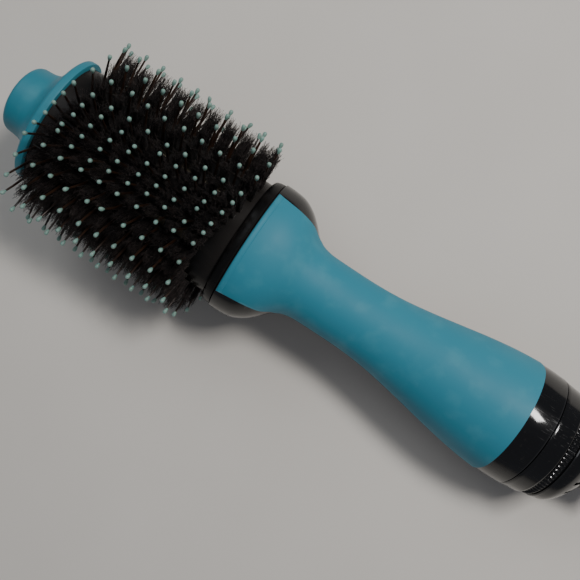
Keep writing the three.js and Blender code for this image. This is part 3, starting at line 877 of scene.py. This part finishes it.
def stacked_faces(rings, sides):
    """Faces of a closed body made of rings of vertices, one above the other."""
    faces = [tuple(reversed(range(sides))), tuple(range((rings - 1) * sides, rings * sides))]
    for low in range(0, (rings - 1) * sides, sides):
        high = low + sides
        for side in range(sides):
            turned = (side + 1) % sides
            faces.append((low + side, low + turned, high + turned, high + side))
    return faces


def along(path, share):
    """Point of a pin's centre line, bending more towards the tip."""
    foot, outward, sway, length = path
    return foot + outward * (length * share) + sway * share ** 2


def swept(paths, profile, sides):
    """Round pieces with the same profile along each path."""
    parts = []
    for path in paths:
        outward = path[1]
        across = outward.cross(Vector((1, 0, 0)))
        vertices = []
        for share, radius in profile:
            centre = along(path, share)
            for side in range(sides):
                angle = 2 * math.pi * side / sides
                vertices.append(
                    centre
                    + Vector((radius * math.cos(angle), 0, 0))
                    + across * (radius * math.sin(angle))
                )
        parts.append((vertices, stacked_faces(len(profile), sides)))
    return gather(parts)


def pins():
    """Nylon pins with mint ball tips, which stand for the CAD rows."""
    paths = pin_paths()
    shafts = make_object("pin_shafts_fine", *swept(paths, PIN_SHAFT, SHAFT_SIDES))
    soften(shafts, 50)
    settle(shafts, "brush", PIN_NYLON, ROW_NODES)
    beads = make_object("pin_tips_fine", *swept(paths, PIN_BEAD, BEAD_SIDES))
    soften(beads, 60)
    settle(beads, "brush", PIN_TIP)


def tuft_places():
    """Foot, axes, reach, lean and length of every tuft; a short one wraps the last pin."""
    pick = random.Random(TUFT_SEED)
    places = []
    for root, outward, length in bristle_rows():
        across = outward.cross(Vector((1, 0, 0)))
        for tuft in range(PINS_PER_ROW):
            last = tuft == PINS_PER_ROW - 1
            station = tuft if last else tuft + 0.5
            foot = root + Vector((-station * PIN_PITCH, 0, 0)) + outward * 1.0
            share = TUFT_REACH - TUFT_SIDE_LOSS * abs(outward.y) + pick.uniform(-0.08, 0.05)
            lean = across * pick.gauss(0, TUFT_LEAN) + Vector((pick.gauss(0, TUFT_LEAN), 0, 0))
            tuft_length = TUFT_LENGTH * (0.5 if last else 1.0)
            places.append((foot, outward, across, length * share, lean, tuft_length))
    return places


def tuft_cores():
    """Dense roots of the tufts: lumpy blocks that end well below the fibre ends."""
    parts = []
    for tuft, (foot, outward, across, reach, lean, length) in enumerate(tuft_places()):
        vertices = []
        for level in range(CORE_LEVELS):
            share = level / (CORE_LEVELS - 1)
            crown = CORE_CROWN if level == CORE_LEVELS - 1 else 0.0
            spread = CORE_ROOT + CORE_FLARE * share - crown
            for column in range(CORE_COLUMNS):
                angle = 2 * math.pi * column / CORE_COLUMNS
                x = length / 2 * spread * math.cos(angle)
                y = TUFT_WIDTH / 2 * spread * math.sin(angle)
                point = foot + Vector((x, 0, 0)) + across * y
                climb = outward * (reach * CORE_REACH * share)
                point += climb + lean * (share * CORE_REACH) ** 2
                rough = noise.noise(point * 0.9 + Vector((tuft * 3.1, 0, 0)))
                point += (Vector((x, 0, 0)) * 0.2 + across * y * 0.3) * rough
                vertices.append(point)
        parts.append((vertices, stacked_faces(CORE_LEVELS, CORE_COLUMNS)))
    piece = make_object("tuft_cores_fine", *gather(parts))
    soften(piece, 60)
    settle(piece, "brush", BRISTLE_CORE)


def tuft_fibres(batch):
    """Crimped, splayed bristles of every ninth tuft, as thin three-sided strands."""
    draw = np.random.default_rng(FIBRE_SEED + batch)
    places = tuft_places()[batch::FIBRE_BATCHES]
    count = len(places) * FIBRES_PER_TUFT
    feet, up, across, lean = (
        np.repeat([tuple(place[column]) for place in places], FIBRES_PER_TUFT, axis=0)
        for column in (0, 1, 2, 4)
    )
    reach, length = (
        np.repeat([place[column] for place in places], FIBRES_PER_TUFT) for column in (3, 5)
    )
    along_x = np.array([1.0, 0.0, 0.0])
    root_x = draw.uniform(-0.5, 0.5, count) * length
    root_y = draw.uniform(-0.5, 0.5, count) * TUFT_WIDTH
    height = reach * draw.normal(*FIBRE_HEIGHT, count).clip(*FIBRE_HEIGHT_LIMITS)
    fan_x = root_x * 0.15 + draw.normal(0, SPLAY_ALONG, count)
    fan_y = root_y * 0.8 + draw.normal(0, SPLAY_ACROSS, count)
    crimp = draw.uniform(*FIBRE_CRIMP, count)
    rings = []
    for step in range(FIBRE_STEPS + 1):
        share = step / FIBRE_STEPS
        rise = height * share
        kink = crimp * min(1, 2 * share)
        splay = share ** SPLAY_CURVE
        x = root_x + fan_x * splay + kink * draw.normal(0, 1, count)
        y = root_y + fan_y * splay + kink * draw.normal(0, 1, count)
        centre = feet + along_x * x[:, None] + across * y[:, None] + up * rise[:, None]
        centre = centre + lean * share ** 2
        radius = FIBRE_RADIUS * (1.0 - 0.4 * share)
        for side in range(3):
            angle = 2 * math.pi * side / 3
            rings.append(
                centre + radius * (math.cos(angle) * along_x + math.sin(angle) * across)
            )
    vertices = np.stack(rings, axis=1).reshape(-1, 3)
    strand = []
    for low in range(0, 3 * FIBRE_STEPS, 3):
        for side in range(3):
            turned = (side + 1) % 3
            strand.append((low + side, low + 3 + turned, low + 3 + side))
            strand.append((low + side, low + turned, low + 3 + turned))
    last = 3 * FIBRE_STEPS
    strand += [(0, 2, 1), (last, last + 1, last + 2)]
    starts = np.arange(count) * 3 * (FIBRE_STEPS + 1)
    faces = (starts[:, None, None] + np.array(strand)[None]).reshape(-1, 3)
    piece = fast_object(f"tuft_fibres_{batch + 1}_fine", vertices, faces)
    settle(piece, "brush", BRISTLE_HAIR)


# ---- tail ---------------------------------------------------------------------------------
# Ribs of the dial's grip, slots of the cover, rings of the gland and wires of the filter.
GRIP_RIBS = 80
SIDES_PER_RIB = 6
GRIP_RADIUS = DIAL_RADIUS - 2.9
RIB_HEIGHT = 0.75
RIB_SINK = 0.25
INTAKE_SLOTS = 20
INTAKE_SIDES = 160
GLAND_SIDES = 96
GRIP_RING_PITCH = 2.5
FILTER_AT = CAP_START + 10.9
FILTER_RADIUS = 21.4
FILTER_BORE = HUB_RADIUS + 0.5
FILTER_RINGS = 7
FILTER_SIDES = 60
FILTER_SPOKES = 48
FILTER_RIM = 0.35
FILTER_WIRE = 0.12
SPOKE_HALF = 0.1


def speed_dial():
    """Switch ring: a glossy band, a step and a finely ribbed grip behind it."""
    end = SHELL_START - GAP
    inside = [
        (DIAL_START, DIAL_RADIUS - 5.8),
        (DIAL_START + 5, DIAL_RADIUS - 5.8),
        (DIAL_START + 7, DIAL_RADIUS - 2.8),
        (end, DIAL_RADIUS - 2),
    ]
    front = [(end, DIAL_RADIUS - 0.5), (end - 0.15, DIAL_RADIUS - 0.15), (end - 0.5, DIAL_RADIUS)]
    band = [
        (x, DIAL_RADIUS - 0.9 * (end - x) / (end - DIAL_START - 6.6))
        for x in np.linspace(end - 2, DIAL_START + 6.8, 6)
    ]
    shoulder = arc((DIAL_START + 6.4, DIAL_RADIUS - 2.6), 1.7, 85, 175, 10)
    groove = [(DIAL_START + 4.6, DIAL_RADIUS - 3.3), (DIAL_START + 4.4, DIAL_RADIUS - 3.4)]
    ribbed = [(x, GRIP_RADIUS) for x in np.linspace(DIAL_START + 4.2, DIAL_START + 0.6, 7)]
    rear = [(DIAL_START + 0.4, DIAL_RADIUS - 3.5), (DIAL_START, DIAL_RADIUS - 3.6)]
    profile = [*inside, *front, *band, *shoulder, *groove, *ribbed, *rear]
    sides = GRIP_RIBS * SIDES_PER_RIB
    vertices, faces = round_tube(profile, sides)
    first = len(profile) - len(rear) - len(ribbed)
    for ring in range(first, first + len(ribbed)):
        depth = math.sin(math.pi * (ring - first + 0.5) / len(ribbed))
        for side in range(sides):
            index = ring * sides + side
            x, y, z = vertices[index]
            crest = max(0.0, math.cos(2 * math.pi * side / SIDES_PER_RIB))
            scale = 1 + (RIB_HEIGHT * depth * crest - RIB_SINK) / GRIP_RADIUS
            vertices[index] = (x, y * scale, z * scale)
    # This profile runs counter-clockwise, so its faces are turned outwards here.
    faces = [tuple(reversed(face)) for face in faces]
    piece = make_object("speed_dial_fine", vertices, faces)
    soften(piece, 50)
    settle(piece, "dial", GLOSS_BLACK, ["speed_dial"])


def intake_cover():
    """Domed end of the tail, with radial slots for the air."""
    end = DIAL_START - GAP
    outer = smooth_run([
        (CAP_START + 0.4, 15.4),
        (CAP_START + 2.2, 18.2),
        (CAP_START + 4.6, 21.6),
        (CAP_START + 7.4, 24.6),
        (CAP_START + 10.6, 26.7),
        (end - 0.5, 27.6),
    ], 8)
    profile = [
        (CAP_START, HUB_RADIUS + GAP),
        (CAP_START, HUB_RADIUS + 1.1),
        *outer,
        (end, 27.2),
        (end, 25.4),
        (CAP_START + 11.2, 24.4),
        (CAP_START + 7.4, 21.8),
        (CAP_START + 3.4, HUB_RADIUS + GAP),
    ]
    piece = make_object("intake_cover_fine", *round_tube(profile, INTAKE_SIDES))
    slots = []
    for slot in range(INTAKE_SLOTS):
        turn = (slot + 0.5) / INTAKE_SLOTS * 2 * math.pi
        slots.append(box_tool((CAP_START - 1, -1, 17.4), (CAP_START + 9.8, 1, 24), turn))
    carve(piece, make_object("intake_cutter", *gather(slots)))
    soften(piece, 35)
    settle(piece, "brush", GLOSS_BLACK, ["intake_cover"])


def swivel_gland():
    """Tapered cord swivel with grip rings, bored for the cord."""
    base = CAP_START - GAP
    end = SHELL_START + 8.5
    rings = []
    for x in np.linspace(GRIP_RING_PITCH, 6 * GRIP_RING_PITCH, 76):
        past = x - GRIP_RING_PITCH
        rings.append(
            (x, 8.9 + past * 0.1 + 0.22 * math.cos(past / GRIP_RING_PITCH * 2 * math.pi))
        )
    profile = [
        (0.0, CORD_BORE + 0.6),
        (0.0, 7.0),
        (0.4, 7.8),
        (1.5, 8.6),
        *rings,
        *smooth_run([(16, 10.15), (19, 10.4), (base - 2.4, 11.6), (base - 1.2, 12.5)], 5),
        (base - 0.4, 12.9),
        (base, 12.7),
        (base, HUB_BORE - GAP),
        (end, HUB_BORE - GAP),
        (end, CORD_BORE),
        (0.6, CORD_BORE),
    ]
    piece = make_object("swivel_gland_fine", *round_tube(profile, GLAND_SIDES))
    soften(piece, 40)
    settle(piece, "gland", GLAND_BLACK, ["swivel_gland"])


def filter_mesh():
    """Woven intake filter: radial and ring wires held in a rim."""
    last = FILTER_RINGS - 1
    parts = []
    for ring in range(FILTER_RINGS):
        radius = FILTER_BORE + (FILTER_RADIUS - FILTER_BORE) * ring / last
        thickness = FILTER_RIM if ring in (0, last) else FILTER_WIRE
        section = arc((FILTER_AT, radius), thickness, 360, 0, 6)[:-1]
        parts.append(round_tube(section, FILTER_SIDES))
    for spoke in range(FILTER_SPOKES):
        parts.append(box_tool(
            (FILTER_AT - SPOKE_HALF, -SPOKE_HALF, FILTER_BORE),
            (FILTER_AT + SPOKE_HALF, SPOKE_HALF, FILTER_RADIUS),
            2 * math.pi * spoke / FILTER_SPOKES,
        ))
    piece = make_object("intake_filter_fine", *gather(parts))
    settle(piece, "brush", STEEL, ["intake_filter"])


# ---- stage --------------------------------------------------------------------------------
FLOOR_REACH = 3.0
FLOOR_TONES = ((0.74, 0.70, 0.64), (0.78, 0.74, 0.68))
LIGHT_AIM = (0, 0, 0.03)
SKY_COLOUR = (0.86, 0.90, 1.0, 1)
SKY_STRENGTH = 0.17

# View from almost straight above, the tool lying tip up-left.
CAMERA_AT = Vector((183.2, 22.1, 380.7))
CAMERA_AIM = Vector((193.8, 7.4, 0))
IMAGE_UP = Vector((0.5503, -0.8349, 0))
SENSOR_WIDTH = 36
FOCAL_SHARE = 755 / 580


def floor():
    """Plain pale floor under the brush."""
    mesh = bpy.data.meshes.new("floor")
    corners = [(-1, -1), (1, -1), (1, 1), (-1, 1)]
    mesh.from_pydata([(x * FLOOR_REACH, y * FLOOR_REACH, 0) for x, y in corners], [], [range(4)])
    sheet = bpy.data.objects.new("floor", mesh)
    bpy.context.scene.collection.objects.link(sheet)
    material, tree, principled, place = shader("pale floor", roughness=0.75)
    tone = remap(tree, noise_field(tree, place, scale=9, detail=3), 0.0, 1.0)
    tree.links.new(blend_colours(tree, tone, *FLOOR_TONES), principled.inputs["Base Color"])
    mesh.materials.append(material)


def area_light(name, place, size, power, colour):
    """A soft rectangular light that points at the brush."""
    data = bpy.data.lights.new(name, "AREA")
    data.shape = "RECTANGLE"
    data.size, data.size_y = size
    data.energy = power
    data.color = colour
    lamp = bpy.data.objects.new(name, data)
    lamp.location = place
    lamp.rotation_mode = "QUATERNION"
    lamp.rotation_quaternion = (Vector(place) - Vector(LIGHT_AIM)).to_track_quat("Z", "Y")
    bpy.context.scene.collection.objects.link(lamp)


def lights():
    """A soft window to the picture's right, a weak fill at its upper left and a dim sky."""
    world = bpy.data.worlds.new("studio")
    world.use_nodes = True
    background = world.node_tree.nodes["Background"]
    background.inputs["Color"].default_value = SKY_COLOUR
    background.inputs["Strength"].default_value = SKY_STRENGTH
    bpy.context.scene.world = world
    area_light(
        "window", (-0.36, -0.48, 1.05), size=(0.34, 0.2), power=8.5, colour=(1.0, 0.98, 0.96),
    )
    area_light(
        "fill", (0.75, -0.35, 0.9), size=(0.6, 0.6), power=2.2, colour=(0.93, 0.97, 1.0),
    )


def camera():
    """The photo's view; its place is in the tool's own frame."""
    data = bpy.data.cameras.new("camera")
    data.sensor_width = SENSOR_WIDTH
    data.lens = data.sensor_width * FOCAL_SHARE
    data.clip_start = 0.01
    eye = bpy.data.objects.new("camera", data)
    forward = (CAMERA_AIM - CAMERA_AT).normalized()
    right = forward.cross(IMAGE_UP).normalized()
    up = right.cross(forward)
    turn = TOOL.to_3x3() @ Matrix((right, up, -forward)).transposed()
    eye.matrix_world = Matrix.Translation(TO_ROW @ CAMERA_AT) @ turn.to_4x4()
    bpy.context.scene.collection.objects.link(eye)
    bpy.context.scene.camera = eye


# ---- assembly -----------------------------------------------------------------------------
dress_cad_nodes()
front_shell()
rear_shell()
neck_collar()
barrel_half(1)
barrel_half(-1)
cool_tip()
row_rails()
pins()
tuft_cores()
for tuft_batch in range(FIBRE_BATCHES):
    tuft_fibres(tuft_batch)
speed_dial()
intake_cover()
swivel_gland()
filter_mesh()
floor()
lights()
camera()

bpy.context.view_layer.update()
